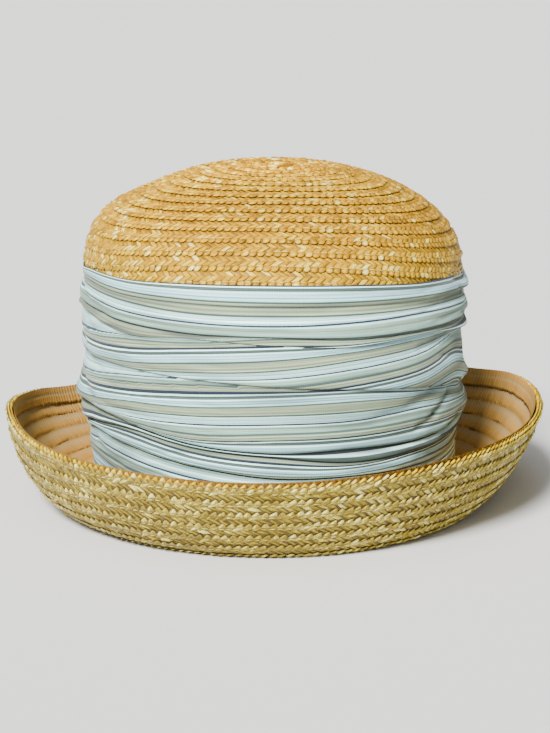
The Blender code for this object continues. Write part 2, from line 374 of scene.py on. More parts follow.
# Colours of the plaited straw. deep is the darkest straw and also the colour of the painted shade; gap
# is how strong that painted shade is where a leaf dives under its neighbour, edge how strong the
# painted highlight round its border, and glint the colour of the brightest leaves, painted highlights
strawLooks = {
    "crown": {
        "deep": (0.130, 0.056, 0.003),
        "gold": (0.465, 0.205, 0.001),
        "light": (0.760, 0.400, 0.003),
        "pale": (1.000, 0.760, 0.070),
        "glint": (1.000, 0.960, 0.380),
        "olive": (0.300, 0.205, 0.002),
        "oliveShare": 0.85,
        "gap": 0.88,
        "edge": 0.14,
        "oliveBelow": 0.134,     # the crown turns from orange gold to a yellower gold
        "oliveRange": 0.028,
        "speckle": 0.90,
    },
    "brim": {
        "deep": (0.078, 0.048, 0.006),
        "gold": (0.225, 0.158, 0.010),
        "light": (0.410, 0.312, 0.030),
        "pale": (0.880, 0.750, 0.150),
        "glint": (1.000, 0.960, 0.380),
        "olive": (0.175, 0.125, 0.006),
        "gap": 0.70,
        "edge": 0.18,
        "oliveShare": 0.22,
        "oliveBelow": 0.034,
        "oliveRange": 0.024,
        "speckle": 1.25,
    },
    "rim": {
        "deep": (0.150, 0.070, 0.002),
        "gold": (0.500, 0.280, 0.002),
        "light": (0.800, 0.530, 0.008),
        "pale": (1.000, 0.820, 0.100),
        "gap": 0.80,
        "edge": 0.20,
        "glint": (1.000, 0.950, 0.480),
        "olive": (0.380, 0.260, 0.006),
        "oliveShare": 0.2,
        "oliveBelow": 0.030,
        "oliveRange": 0.020,
        "speckle": 0.80,
    },
}


def strawPaint(name, look):
    # Plaited straw: a tone for each leaf, fibres along it, painted shade where it dives under its
    # neighbour and on one side, and a painted highlight round its border
    paint = Paint(name, roughness=0.42, Specular_IOR_Level=0.62,
                  Specular_Tint=(1.0, 0.66, 0.14, 1.0))
    tone = paint.attribute("tone")
    rise = paint.attribute("rise")
    across, along, _ = paint.uv("straw")
    spot = paint.where()
    patches = paint.noise(spot, 22.0, 2.0)
    fibres = paint.noise(paint.join(across * 9.0, along * 0.7, tone * 60.0), 1.0, 3.0, 0.6)
    specks = paint.noise(spot, 1300.0, 2.0, 0.6)
    # painted light and shade across each leaf, lighter on one side, the side picked by its tone
    paintedSideShade = (tone * 37.0).math("FRACT") - 0.5
    shade = (tone + (patches - 0.5) * 0.50 + (fibres - 0.5) * 0.60 + paintedSideShade * across * 0.28
             + (specks - 0.5) * look["speckle"]).clamped()
    base = paint.ramp(shade, [(0.0, look["deep"]), (0.34, look["gold"]),
                              (0.66, look["light"]), (0.86, look["pale"]),
                              (1.0, look["glint"])])
    height = paint.split(spot)[2]
    low = ((look["oliveBelow"] - height) / look["oliveRange"]).clamped()
    olive = paint.mix(low * look["oliveShare"] * (1.2 - tone).clamped(), base, look["olive"])
    # painted shade: darker towards the deep colour where rise is low, at the leaf's borders and on its
    # trailing side
    dark = paint.mix((1.0 - rise).clamped() ** 1.2 * look["gap"], olive, look["deep"])
    # painted highlight: a pale line round each leaf, part way down its border
    edge = (1.0 - (rise - 0.42).math("ABSOLUTE") / 0.26).clamped()
    dark = paint.mix(edge * look["edge"], dark, look["pale"])
    rough = 0.20 + patches * 0.18 + (1.0 - tone) * 0.16
    return paint.finish(Base_Color=dark, Roughness=rough,
                        Normal=paint.bump(fibres, 0.00022, 0.6))


def setAttribute(mesh, name, values):
    made = mesh.attributes.new(name, "FLOAT", "POINT")
    made.data.foreach_set("value", np.asarray(values, np.float32))


def coordsOf(mesh):
    flat = np.empty(3 * len(mesh.vertices), np.float32)
    mesh.vertices.foreach_get("co", flat)
    return flat.reshape(-1, 3).astype(float)


def setCoords(mesh, coords):
    mesh.vertices.foreach_set("co", np.asarray(coords, np.float32).ravel())
    mesh.update()


def wholePiece(name, mesh, material, smooth=True):
    mesh.name = name
    mesh.materials.clear()
    mesh.materials.append(material)
    if smooth:
        mesh.shade_smooth()
    piece = bpy.data.objects.new(name, mesh)
    bpy.context.scene.collection.objects.link(piece)
    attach(piece, "root")
    return piece


def meshOf(work):
    mesh = bpy.data.meshes.new("work")
    work.to_mesh(mesh)
    work.free()
    return mesh


# The plait: one cell of folded straws, repeated into a flat ribbon

plait = {
    "cell": 3.3,          # length of one cell along the ribbon, mm
    "segments": 4,        # squares along each side of a leaf
    "spread": 0.60,       # how near its borders their corners lie
    "sunkBorder": -0.34,  # height of a leaf's border under the ribbon's face
}
# A leaf is one visible stretch of straw. Each row holds low and high, its reach
# across the ribbon from the free edge; shift, its place along it; slant, its lean
# along it; wide, its width as a share of the cell; arch, its height; tilt, how far
# one long side stands over the other; soft, how round its corners are; point, how
# narrow its end is; and bend, how bowed it lies.
leafTables = {
    "crown": (
        (-0.32, 2.55, 0.00, 0.25, 1.06, 0.30, 0.12, 0.90, 0.16, 0.00),
        (2.20, 5.10, 0.80, 1.05, 0.98, 0.16, 0.30, 0.06, 0.00, 0.00),
        (4.55, 7.75, 0.75, -1.05, 0.98, 0.10, -0.30, 0.06, 0.00, 0.00),
        (2.12, 2.66, 0.05, 0.00, 1.00, 0.54, 0.00, 0.30, 0.00, -0.50),
    ),
    "brim": (
        (-0.40, 2.60, 0.00, 0.30, 1.24, 0.24, 0.44, 0.02, 0.80, 0.00),
        (1.60, 4.90, 0.80, 1.00, 1.14, 0.12, 0.30, 0.04, 0.10, 0.00),
        (4.10, 8.40, 0.80, -1.00, 1.14, 0.18, -0.30, 0.04, 0.10, 0.00),
        (2.50, 3.04, 0.80, 0.25, 0.70, 0.52, 0.00, 0.30, 0.00, 0.10),
    ),
}
# How much lighter or darker than the rest each leaf is; the brim's first leaf, the tooth at its free
# edge, is painted lighter as a painted highlight
leafTones = {"crown": (0.00, 0.05, 0.00, 0.00), "brim": (0.12, -0.04, -0.06, 0.00)}
# The stitches: which leaf they are, the share that show, and their squares each way
thread = {"leaf": 3, "shown": 0.72, "grid": (3, 2), "height": 0.26, "hidden": 0.9}


def addLeaf(work, marks, kind, k):
    stitch = k == thread["leaf"]
    around, down = thread["grid"] if stitch else (plait["segments"], plait["segments"])
    fresh = bmesh.ops.create_grid(work, x_segments=around, y_segments=down, size=1.0)["verts"]
    uvLayer, leafLayer, riseLayer = marks
    low, high, shift, slant, wide, arch, tilt, soft, point, bend = leafTables[kind][k]
    width = wide * plait["cell"] / 2
    middle, reach = (low + high) / 2, (high - low) / 2
    flat = {}
    for vert in fresh:
        u = math.copysign(abs(vert.co.x) ** plait["spread"], vert.co.x)
        v = math.copysign(abs(vert.co.y) ** plait["spread"], vert.co.y)
        flat[vert] = (u, v)
        roundU = u * math.sqrt(1 - soft * v * v / 2) * (1 - point * (1 - v) / 2)
        roundV = v * math.sqrt(1 - soft * u * u / 2)
        hump = max((1 - abs(u) ** 3.0) * (1 - abs(v) ** 4.0), 0.0)
        sunk = arch - thread["height"] if stitch else plait["sunkBorder"]
        z = sunk + (arch + tilt * u - sunk) * hump ** 0.5
        vert.co = (shift + roundU * width + slant * roundV * reach,
                   middle + roundV * reach + bend * u * u, z)
        vert[leafLayer] = k
        # rise is the leaf's hump, lower on one long side; it also paints the straw darker where it is
        # low, as painted shade at the borders and on that side
        vert[riseLayer] = hump ** 0.5 * (1 - 0.75 * ((1 - u) / 2) ** 1.3)
    for vert in fresh:
        for loop in vert.link_loops:
            u, v = flat[vert]
            loop[uvLayer].uv = (u * width, v * reach)


def plaitCell(kind, leaves=(0, 1, 2, 3)):
    work = bmesh.new()
    marks = (work.loops.layers.uv.new("straw"), work.verts.layers.float.new("leaf"),
             work.verts.layers.float.new("rise"))
    for k in leaves:
        addLeaf(work, marks, kind, k)
    bmesh.ops.recalc_face_normals(work, faces=work.faces)
    bmesh.ops.scale(work, vec=(mm, mm, mm), verts=work.verts)
    return meshOf(work)


def repeated(mesh, count, step):
    # The mesh in a row, by an Array modifier that is then applied
    holder = bpy.data.objects.new("row", mesh)
    bpy.context.scene.collection.objects.link(holder)
    array = holder.modifiers.new("row", "ARRAY")
    array.count = count
    array.use_relative_offset = False
    array.use_constant_offset = True
    array.constant_offset_displace = (step, 0, 0)
    view = bpy.context.evaluated_depsgraph_get()
    made = bpy.data.meshes.new_from_object(holder.evaluated_get(view))
    bpy.data.objects.remove(holder)
    return made


def floatsOf(mesh, name):
    values = np.empty(len(mesh.vertices), np.float32)
    mesh.attributes[name].data.foreach_get("value", values)
    return values.astype(float)


# How far single leaves stray from the pattern
loose = {
    "tall": 0.10,         # height, mm
    "swing": 0.12,        # turn in the ribbon's plane
    "slip": 0.13,         # place along the ribbon, mm
    "fat": 0.06,          # size, as a share
    "lean": 0.20,         # tip to one side
    "pitch": 0.10,        # tip along the leaf
    "tone": (0.46, 0.17),          # mean and spread of the leaves' tone
    "threadTone": (0.93, 0.08),    # and of the stitches' tone
}


def looseRibbon(kind, template, count, seed, glints=0.05):
    # A flat ribbon of cells in which no two leaves lie quite alike.
    # Returns its mesh, and for each point the cell it is in, its place along the
    # cell, across the ribbon and above it, in metres.
    cell = plait["cell"] * mm
    mesh = repeated(template, count, 0.0)
    pick = np.random.default_rng(seed)
    perCell = len(template.vertices)
    number = np.arange(len(mesh.vertices)) // perCell
    leaf = floatsOf(mesh, "leaf").astype(int)
    x, y, z = coordsOf(mesh).T
    each = number * 4 + leaf
    total = 4 * count + 4
    tall = pick.normal(0, loose["tall"] * mm, total)[each]
    swing = pick.normal(0, loose["swing"], total)[each]
    slip = pick.normal(0, loose["slip"] * mm, total)[each]
    fat = 1 + pick.normal(0, loose["fat"], total)[each]
    lean = pick.normal(0, loose["lean"], total)[each]
    pitch = pick.normal(0, loose["pitch"], total)[each]
    kinds = leafTables[kind]
    middleX = np.array([row[2] for row in kinds])[leaf] * mm
    middleY = np.array([(row[0] + row[1]) / 2 for row in kinds])[leaf] * mm
    awayX, awayY = x - middleX, y - middleY
    x = middleX + fat * awayX + swing * awayY + slip
    y = middleY + fat * awayY + 0.5 * slip
    rise = floatsOf(mesh, "rise")
    z = z + (tall + lean * awayX + pitch * awayY) * rise
    tone = pick.normal(*loose["tone"], total) + np.tile(leafTones[kind], count + 1)
    # glints and stitches grow more frequent down the crown
    depth = (np.arange(total) / total) if kind == "crown" else np.ones(total)
    glint = pick.random(total) < 0.01 + glints * depth ** 3
    tone = np.where(glint, pick.uniform(0.80, 1.0, total), tone)
    stitched = np.arange(total) % 4 == thread["leaf"]
    tone = np.where(stitched, pick.normal(*loose["threadTone"], total), tone)
    hidden = stitched & (pick.random(total) > thread["shown"] * (0.06 + 0.94 * depth ** 1.8))
    z = z - thread["hidden"] * mm * hidden[each]
    setAttribute(mesh, "tone", np.clip(tone, 0, 1)[each])
    mesh.attributes.remove(mesh.attributes["leaf"])
    return mesh, number, x / cell, y, z


crownPlait = {
    "firstTurn": 0.30,    # the ribbon starts this many turns out from the tip
    "lastTurn": 17.4,     # and ends under the sash
    "proud": -0.00007,    # how far the ribbon lies over the solid's ridges
    "glints": 0.18,       # share of bright leaves at the lowest row
    "tipTurns": 9,        # rows round the tip that lie flatter than the rest
    "tipDrop": 0.65,      # how far their free edges reach down to the next row, mm
    "hemGap": 0.0004,     # the plait is pressed in from this far under the sash's hem
    "hemBlend": 0.0016,   # over this height
    "pressed": 0.0105,    # by this share of its radius
    "seed": 21,
}
rowMiddle = 0.0035        # the middle of a row, from its free edge


def windOnCrown(turns, across, lift):
    # Turns run outwards from the tip; the free edge lies one pitch further each turn
    along = hatSizes["rowPitch"] * turns - across
    level = -hatSizes["rowStep"] * across / hatSizes["rowPitch"]
    return crownSkin.place(turns, np.maximum(along, 0.0), level + lift)


def crownWinding():
    turns = np.linspace(crownPlait["firstTurn"], crownPlait["lastTurn"], 8000)
    track = windOnCrown(turns, rowMiddle, 0.0)
    run = np.linalg.norm(np.diff(track, axis=0), axis=1)
    return turns, np.concatenate(([0.0], np.cumsum(run)))


def makeCrownPlait(material):
    c = crownPlait
    turns, marks = crownWinding()
    count = int(round(marks[-1] / (plait["cell"] * mm)))
    template = plaitCell("crown")
    mesh, number, along, across, lift = looseRibbon("crown", template, count, c["seed"],
                                                    glints=c["glints"])
    spot = (number + along) / count * marks[-1]
    turn = np.interp(spot, marks, turns)
    border = floatsOf(mesh, "rise") < 0.01
    # near the tip the rows lie flatter, and their free edges reach down to the next
    away = wave(turn / c["tipTurns"])
    lift = lift * (1 - 0.45 * (1 - wave(turn / 7))) - c["tipDrop"] * mm * (1 - away) * border
    # the painted shade in the leaves is also weaker round the tip
    rise = 1 - (1 - floatsOf(mesh, "rise")) * (0.20 + 0.80 * away)
    mesh.attributes["rise"].data.foreach_set("value", rise.astype(np.float32))
    coords = windOnCrown(turn, across, lift + c["proud"])
    # under the sash the plait is pressed flat against the wall
    hem = atStations(sashTop, turn) * mm
    under = wave((hem - c["hemGap"] - coords[:, 2]) / c["hemBlend"])
    coords[:, :2] *= (1 - c["pressed"] * under)[:, None]
    setCoords(mesh, coords)
    print("crown plait:", count, "cells,", round(marks[-1], 2), "m")
    return wholePiece("crown_plait", mesh, material)


brimPlait = {
    "proud": -0.00012,    # how far the ribbon lies over the solid's ridges
    "cell": 0.0034,       # length of one cell
    "stagger": 0.37,      # how far round each row starts after the last
    "floorGap": 0.00004,
    "seed": 41,
}


def windOnBrim(row, turns, across, lift):
    # across runs back from the row's free edge, which faces the rim
    width = brimSkin.lengthAt(turns) / hatSizes["brimRows"]
    share = (row + 1) / hatSizes["brimRows"] - across / brimSkin.lengthAt(turns)
    level = hatSizes["rowStep"] * across / width
    return brimSkin.place(turns, np.clip(share, 0.0, 1.0), level - lift)


def makeBrimPlait(name, rows, material, seed):
    turns = np.linspace(0, 1, 1441)
    counts, offsets = [], []
    for row in rows:
        track = windOnBrim(row, turns, rowMiddle, 0.0)
        length = np.linalg.norm(np.diff(track, axis=0), axis=1).sum()
        counts.append(int(round(length / brimPlait["cell"])))
    template = plaitCell("brim")
    mesh, number, along, across, lift = looseRibbon("brim", template, sum(counts), seed)
    rowOf = np.repeat(np.arange(len(rows)), counts)[number]
    start = np.concatenate(([0], np.cumsum(counts)))[rowOf]
    rowCount = np.array(counts)[rowOf]
    turn = -(number - start + along) / rowCount + brimPlait["stagger"] * rowOf
    width = brimSkin.lengthAt(turn) / hatSizes["brimRows"]
    squeeze = width / hatSizes["rowPitch"]
    coords = windOnBrim(np.array(rows)[rowOf], turn, across * squeeze,
                        lift + brimPlait["proud"])
    coords[:, 2] = np.maximum(coords[:, 2], brimPlait["floorGap"])
    setCoords(mesh, coords)
    print(name, sum(counts), "cells")
    return wholePiece(name, mesh, material)


# Plain walls under the plait, and the wrong side of the rows with its comb of ends

def rowParts(row, across, rows):
    # Which row of plait a line of points is in, and how far across it
    band = np.minimum(row // (across + 1), rows - 1).astype(int)
    return band, np.clip(row - band * (across + 1), 0, across) / across


def ringGrid(columns, rows):
    # A strip of squares that closes on itself: x is the turn, y the row, both 0 to 1
    work = bmesh.new()
    bmesh.ops.create_grid(work, x_segments=columns, y_segments=rows, size=0.5)
    bmesh.ops.translate(work, vec=(0.5, 0.5, 0.0), verts=work.verts)
    return work


def closedRing(name, columns, rows, section, material, mark=None, flip=False):
    # section(turn, row) gives the points of a strip that runs round the hat
    work = ringGrid(columns, rows)
    uvLayer = work.loops.layers.uv.new("straw")
    for face in work.faces:
        for loop in face.loops:
            loop[uvLayer].uv = (loop.vert.co.x, loop.vert.co.y)
    mesh = meshOf(work)
    flat = coordsOf(mesh)
    setCoords(mesh, section(flat[:, 0], np.round(flat[:, 1] * rows)))
    if mark:
        for key, values in mark(flat[:, 0], np.round(flat[:, 1] * rows)).items():
            setAttribute(mesh, key, values)
    work = bmesh.new()
    work.from_mesh(mesh)
    bmesh.ops.remove_doubles(work, verts=work.verts, dist=1e-6)
    if flip:
        bmesh.ops.reverse_faces(work, faces=work.faces)
    work.to_mesh(mesh)
    work.free()
    return wholePiece(name, mesh, material)


# Straw behind the plait, seen through its gaps: dark colours as painted shade
wallLooks = {
    "crown": {"lit": (0.300, 0.140, 0.003), "dark": (0.150, 0.066, 0.002)},
    "brim": {"lit": (0.170, 0.115, 0.016), "dark": (0.080, 0.050, 0.008)},
}


def wallPaint(name, look):
    # The straw behind the plait, painted dark as the shade in the gaps between its leaves
    paint = Paint(name, roughness=0.65)
    grain = paint.noise(paint.where(), 900.0, 2.0)
    base = paint.mix((grain - 0.25).clamped(), look["dark"], look["lit"])
    return paint.finish(Base_Color=base, Normal=paint.bump(grain, 0.0002, 0.5))


combLooks = {
    "ribs": 640,            # straw ends round the hat in one row
    "warm": (0.450, 0.242, 0.055),
    "bright": (0.6075, 0.3267, 0.07425),
    "brown": (0.240, 0.122, 0.030),
    "pale": (0.400, 0.310, 0.160),
    "shade": (0.160, 0.085, 0.020),
    "warmShade": (0.500, 0.215, 0.022),
}


def combPaint(name):
    # The wrong side: fine straw ends across the row, a pale stitched band, painted shade from the rise
    # attribute, and a painted warm shade near the crown
    paint = Paint(name, roughness=0.5, Specular_IOR_Level=0.4,
                  Specular_Tint=(1.0, 0.72, 0.30, 1.0))
    ribs = combLooks["ribs"]
    across, along, _ = paint.uv("straw")
    band = paint.attribute("band")
    rise = paint.attribute("rise")
    ends = paint.noise(paint.join(across * ribs, along * 0.8, 0.0), 1.0, 2.0, 0.6)
    strokes = paint.node("ShaderNodeTexWave", {"wave_type": "BANDS", "bands_direction": "X"},
                         {"Vector": paint.join(across * ribs / 20.0, along * 0.2, 0.0),
                          "Scale": 6.2832 / 2, "Distortion": 1.4, "Detail": 1.0,
                          "Detail Scale": 3.0}, out="Fac")
    patches = paint.noise(paint.where(), 26.0, 2.0)
    warm = paint.ramp((ends * 0.9 + patches * 0.5 - 0.15).clamped(),
                      [(0.15, combLooks["brown"]), (0.5, combLooks["warm"]),
                       (0.85, combLooks["bright"])])
    base = paint.mix(band * 0.72, warm, combLooks["pale"])
    base = paint.mix((1.0 - rise).clamped() * 0.85, base, combLooks["shade"])
    # painted warm shade towards the crown's foot, from the near attribute
    base = paint.mix(paint.attribute("near") * 0.55, base, combLooks["warmShade"])
    base = paint.mix(strokes * 0.42, base, combLooks["brown"])
    height = ends * 0.5 + strokes * 0.5
    return paint.finish(Base_Color=base, Roughness=0.42 + ends * 0.2,
                        Normal=paint.bump(height, 0.0004, 0.7))


brimInside = {
    "columns": 1280,
    "across": 7,           # points across each row of the comb
    "ragged": 1.1,         # how unevenly the ends are cut, mm
    "ribHeight": 0.08,     # mm
    "bandFrom": 0.50,      # where the pale stitched band starts in a row
    "step": 0.34,          # how far a row's cut ends stand over the next row, mm
}


def makeBrimInside(material):
    # Seen from inside, each row lies over the one nearer the crown
    s = hatSizes
    rows, across, columns = s["brimRows"], brimInside["across"], brimInside["columns"]
    face = s["brimThickness"]
    jag = np.random.default_rng(5).random((columns, rows))

    def section(turn, row):
        band, share = rowParts(row, across, rows)
        column = np.round(turn * columns).astype(int) % columns
        width = 1.0 / rows
        cut = brimInside["ragged"] * mm * (jag[column, band] - 0.5) * (share < 0.2)
        sway = 0.9 * mm * softNoise(turn * 46, band * 5.3, 13, 2, around=46) * (1 - share)
        along = (band + 0.02 + 0.985 * share) * width + (cut + sway) / brimSkin.lengthAt(turn)
        grown = 0.35 + 0.65 * wave((band + share) / 4)
        rib = (brimInside["ribHeight"] * mm * np.where(column % 2 == 0, 1, -1)
               * (1 - wave((share - 0.45) * 4)))
        bulge = 0.14 * mm * np.sin(math.pi * np.minimum(share * 1.25, 1.0)) ** 0.7
        groove = 0.16 * mm * np.exp(-((share - 0.66) / 0.10) ** 2)
        lift = face + brimInside["step"] * mm * (1 - share) * grown + bulge * grown + rib - groove
        lift = np.where(share < 0.01, face - 0.2 * mm, lift)
        swell = 0.30 * mm * softNoise(turn * 60, band * 3.7 + share, 9, around=60)
        return brimSkin.place(turn, np.clip(along, 0, 1), lift + swell)

    def mark(turn, row):
        band, share = rowParts(row, across, rows)
        fade = wave((band + share - 0.6) / 2.5)
        pale = fade * wave((share - brimInside["bandFrom"]) / 0.14) * (1 - wave((share - 0.88) / 0.12))
        # rise paints shade at each row's cut edge and under the next row's cut ends, over the real
        # step's shadow; near paints the warm shade towards the crown
        rise = wave(share / 0.10 + 0.40) * (1 - 0.75 * wave((share - 0.82) / 0.18) * fade)
        return {"band": pale, "rise": rise, "near": 1 - wave((band + share) / 5)}

    lines = rows * (across + 1) - 1
    return closedRing("brim_inside", columns, lines, section, material, mark)


walls = {
    "columns": 240,
    "brimLines": 24,       # squares up each side of the brim's wall
    "crownLines": 44,
    "brimSunk": 0.95,      # how deep under the solid's outside each wall lies, mm
    "crownSunk": 1.12,
    "inset": 0.35,         # and how deep under its inside, mm
    "brimEnd": 0.985,      # where the brim's wall stops, as a share of the way up
}


def makeBrimWall(material):
    lineCount, end = walls["brimLines"], walls["brimEnd"]
    depth = hatSizes["brimThickness"] - walls["inset"] * mm

    def section(turn, row):
        share = np.clip(row / lineCount, 0, 1)
        back = np.clip((row - lineCount - 1) / lineCount, 0, 1)
        outside = brimSkin.place(turn, share * end, walls["brimSunk"] * mm)
        inside = brimSkin.place(turn, (1 - back) * end, depth)
        return np.where((row <= lineCount)[:, None], outside, inside)

    return closedRing("brim_wall", walls["columns"], 2 * lineCount + 1, section, material)


def makeCollar(material):
    # The brim's inner edge, turned up inside the crown
    s = hatSizes
    points = 14

    def section(turn, row):
        foot = brimSkin.place(turn, 0.0, 0.0)
        radius = np.hypot(foot[:, 0], foot[:, 1])
        outer = radius - s["crownWall"] - s["clearance"]
        inner = outer - s["collarWall"]
        step = np.clip(row, 0, points)
        up = np.clip((step - 4) / (points - 6), 0, 1)
        bend = np.clip(step / 4, 0, 1)
        angle = bend * math.pi / 2
        r = np.where(step <= 4, inner + s["collarBend"] * (1 - np.sin(angle)), inner)
        z = np.where(step <= 4, s["collarBend"] * (1 - np.cos(angle)),
                     s["collarBend"] + (s["collarHeight"] - s["collarBend"]) * up)
        r = np.where(step == 0, radius + 0.004, r)
        z = np.where(step == 0, 0.0, z)
        r = np.where(step >= points - 1, inner + 0.6 * s["collarWall"], r)
        z = np.where(step >= points, s["collarHeight"] - 0.002, z)
        r = np.where(step >= points, outer, r)
        angle = 2 * math.pi * turn
        return np.stack((r * np.sin(angle), -r * np.cos(angle), z), axis=-1)

    def mark(turn, row):
        # rise paints shade low on the collar, where it bends up from the brim
        return {"band": 0.0 * row, "rise": 0.35 + 0.5 * wave((row - 3) / 4)}

    return closedRing("brim_collar", 320, points, section, material, mark, flip=True)


crownInside = {
    "columns": 360,
    "across": 3,           # points across each row
    "rows": 30,
    "step": 0.7,           # how far a row's edge stands over the next row, mm
    "rough": 0.15,         # how unevenly it lies, mm
}


def makeCrownWall(material):
    lineCount = walls["crownLines"]
    depth = walls["inset"] * mm - hatSizes["crownWall"]

    def section(turn, row):
        length = crownSkin.lengthAt(turn)
        share = np.clip(row / lineCount, 0, 1)
        back = np.clip((row - lineCount - 1) / lineCount, 0, 1)
        outside = crownSkin.place(turn, share * length, -walls["crownSunk"] * mm)
        inside = crownSkin.place(turn, (1 - back) * length, depth)
        return np.where((row <= lineCount)[:, None], outside, inside)

    return closedRing("crown_wall", walls["columns"], 2 * lineCount + 1, section, material,
                      flip=True)


def makeCrownInside(material):
    # Inside, the rows overlap the other way and show their comb of ends
    s = hatSizes
    across, rows, columns = (crownInside[key] for key in ("across", "rows", "columns"))
    jag = np.random.default_rng(6).random((columns, rows))

    def section(turn, row):
        band, share = rowParts(row, across, rows)
        column = np.round(turn * columns).astype(int) % columns
        along = s["rowPitch"] * (band + turn % 1 + share - 0.3)
        along = np.clip(along, 0.0002, crownSkin.lengthAt(turn) - 0.001)
        step = crownInside["step"] * mm * (1 - share)
        rough = crownInside["rough"] * mm * jag[column, band]
        lift = -s["crownWall"] + 0.2 * mm - step * (share > 0.01) - rough
        return crownSkin.place(turn, along, lift)

    def mark(turn, row):
        band, share = rowParts(row, across, rows)
        # rise paints shade along the edge of each row, where it stands over the next
        return {"band": 0.7 * wave((share - 0.5) / 0.3), "rise": wave(share / 0.3)}

    lines = rows * (across + 1) - 1
    return closedRing("crown_inside", columns, lines, section, material, mark)


rimPlait = {
    "columns": 1280,
    "across": 9,           # points across the facing
    "paleLine": 0.42,      # place of the stitch line, as a share down the braid
    "ribHeight": 0.09,     # mm
    "ragged": 1.1,         # how unevenly its ends are cut, mm
    "slopeOver": 0.004,    # length over which the rim's slope is read
    "glints": 0.02,
    "seed": 61,
}


def makeRimTeeth(material):
    # Folded edge of the rim's own plait, standing over the brim's last row
    s = hatSizes
    turns = np.linspace(0, 1, 1441)
    length = np.linalg.norm(np.diff(brimSkin.place(turns, 1.0, 0.0), axis=0), axis=1).sum()
    count = int(round(length / brimPlait["cell"]))
    pieces = []
    for side, leaves, inwards, seed in ((1, (0, 1), 1.30, 1), (-1, (0,), 2.45, 2)):
        template = plaitCell("brim", leaves)
        mesh, number, along, across, lift = looseRibbon(
            "brim", template, count, rimPlait["seed"] + seed, glints=rimPlait["glints"])
        turn = -side * (number + along + 0.5) / count
        behind = wave((np.abs((turn % 1) * 360 - 180) - 120) / -60)
        rise = s["facingRise"] - ((0.10 if side == 1 else 0.20) + 0.75 * behind) * mm
        out = inwards * mm - side * lift
        rim = brimSkin.place(turn, 1.0, out)
        below = brimSkin.place(turn, 1.0 - rimPlait["slopeOver"] / brimSkin.lengthAt(turn), out)
        up = (rim - below) / rimPlait["slopeOver"]
        setCoords(mesh, rim + up * (rise - across * (1 - 0.3 * behind))[:, None])
        name = "rim_plait" if side == 1 else "rim_plait_inner"
        pieces.append(wholePiece(name, mesh, material))
    print("rim plait:", count, "cells")
    return pieces


def makeRimFacing(material):
    # The rim plait's wrong side, with its pale stitch line and ragged lower edge
    s = hatSizes
    across = rimPlait["across"]
    columns = rimPlait["columns"]
    jag = np.random.default_rng(7).random(columns)
    near = s["brimThickness"] + s["clearance"]

    def section(turn, row):
        share = np.clip(row / across, 0, 1)
        column = np.round(turn * columns).astype(int) % columns
        sway = 0.5 * mm * softNoise(turn * 50, 0 * turn, 17, 2, around=50)
        ragged = (rimPlait["ragged"] * mm * jag[column] + sway) * wave((share - 0.8) / 0.2)
        down = share * s["facingWidth"] + ragged - s["facingRise"] * (1 - share) * 0.3
        rib = rimPlait["ribHeight"] * mm * np.where(column % 2 == 0, 1, -1)
        groove = 0.30 * mm * np.exp(-((share - rimPlait["paleLine"]) / 0.06) ** 2)
        lift = near + s["facingWall"] * (1.0 + 0.2 * np.sin(math.pi * share) - 0.45 * share)
        lift = lift + rib - groove
        lift = np.where(row >= across + 1, near - 0.2 * mm, lift)
        down = np.where(row >= across + 1, down - 0.3 * mm, down)
        rim = brimSkin.place(turn, 1.0, lift)
        below = brimSkin.place(turn, 1.0 - np.maximum(down, 0.0) / brimSkin.lengthAt(turn), lift)
        step = (rim - brimSkin.place(turn, 0.98, lift)) / (0.02 * brimSkin.lengthAt(turn))[:, None]
        return below + step * np.maximum(-down, 0.0)[:, None]

    def mark(turn, row):
        share = row / across
        pale = np.exp(-((share - rimPlait["paleLine"]) / 0.07) ** 2)
        # rise paints shade along the facing's ragged lower edge
        return {"band": 1.3 * pale, "rise": 1.0 - 0.8 * wave((share - 0.93) / 0.1),
                "near": 0 * share}

    return closedRing("rim_facing_braid", columns, across + 1, section, material,
                      mark, flip=True)


# The sash: one cloth in tucks that run round the crown

sashCloth = {
    "columns": 390,
    "topHem": 5,            # rows of the edge that is turned under
    "pleatRows": 22,        # rows down the face of one pleat
    "lipRows": 3,           # rows where it turns back under itself
    "thick": 0.55,          # distance of the flat cloth from the straw, mm
    "floorGap": 4.6,        # height of the lower edge, mm
    "ruffle": 0.60,         # height of the fine ridges, mm
    "girth": 0.58,          # length round the hat for its pattern, metres
    "seed": 3,
}
stations = (-85, -65, -42, -20, 0, 20, 42, 63, 85, 135, 180, 225)
# Heights of the pleats' lower edges at the stations, in mm, top first
foldHeights = {
    "upper": (105.0, 105.8, 105.9, 106.6, 106.8, 105.7, 103.6, 101.2, 98.5, 101, 104, 105),
    "shelf": (93.6, 94.4, 93.8, 93.5, 93.6, 91.5, 90.0, 88.4, 86.5, 90, 92, 93),
    "wedge": (90.4, 91.2, 88.6, 91.4, 90.2, 88.0, 88.3, 84.6, 81.0, 82, 84, 87),
    "middle": (71.5, 72.0, 73.6, 73.7, 72.2, 69.2, 64.3, 59.3, 55.0, 62, 70, 71),
    "belt": (48.1, 50.0, 49.1, 45.0, 43.2, 43.0, 41.3, 41.2, 44.0, 48, 50, 49),
    "under": (38.1, 42.8, 46.4, 43.6, 41.6, 37.2, 37.2, 36.8, 39.0, 40, 41, 40),
    "low": (35.0, 39.0, 38.5, 35.4, 32.1, 31.0, 29.5, 29.0, 29.0, 31, 33, 34),
    "foot": (24.0, 26.0, 23.5, 21.0, 20.0, 19.5, 19.0, 19.0, 19.0, 20, 21, 22),
}
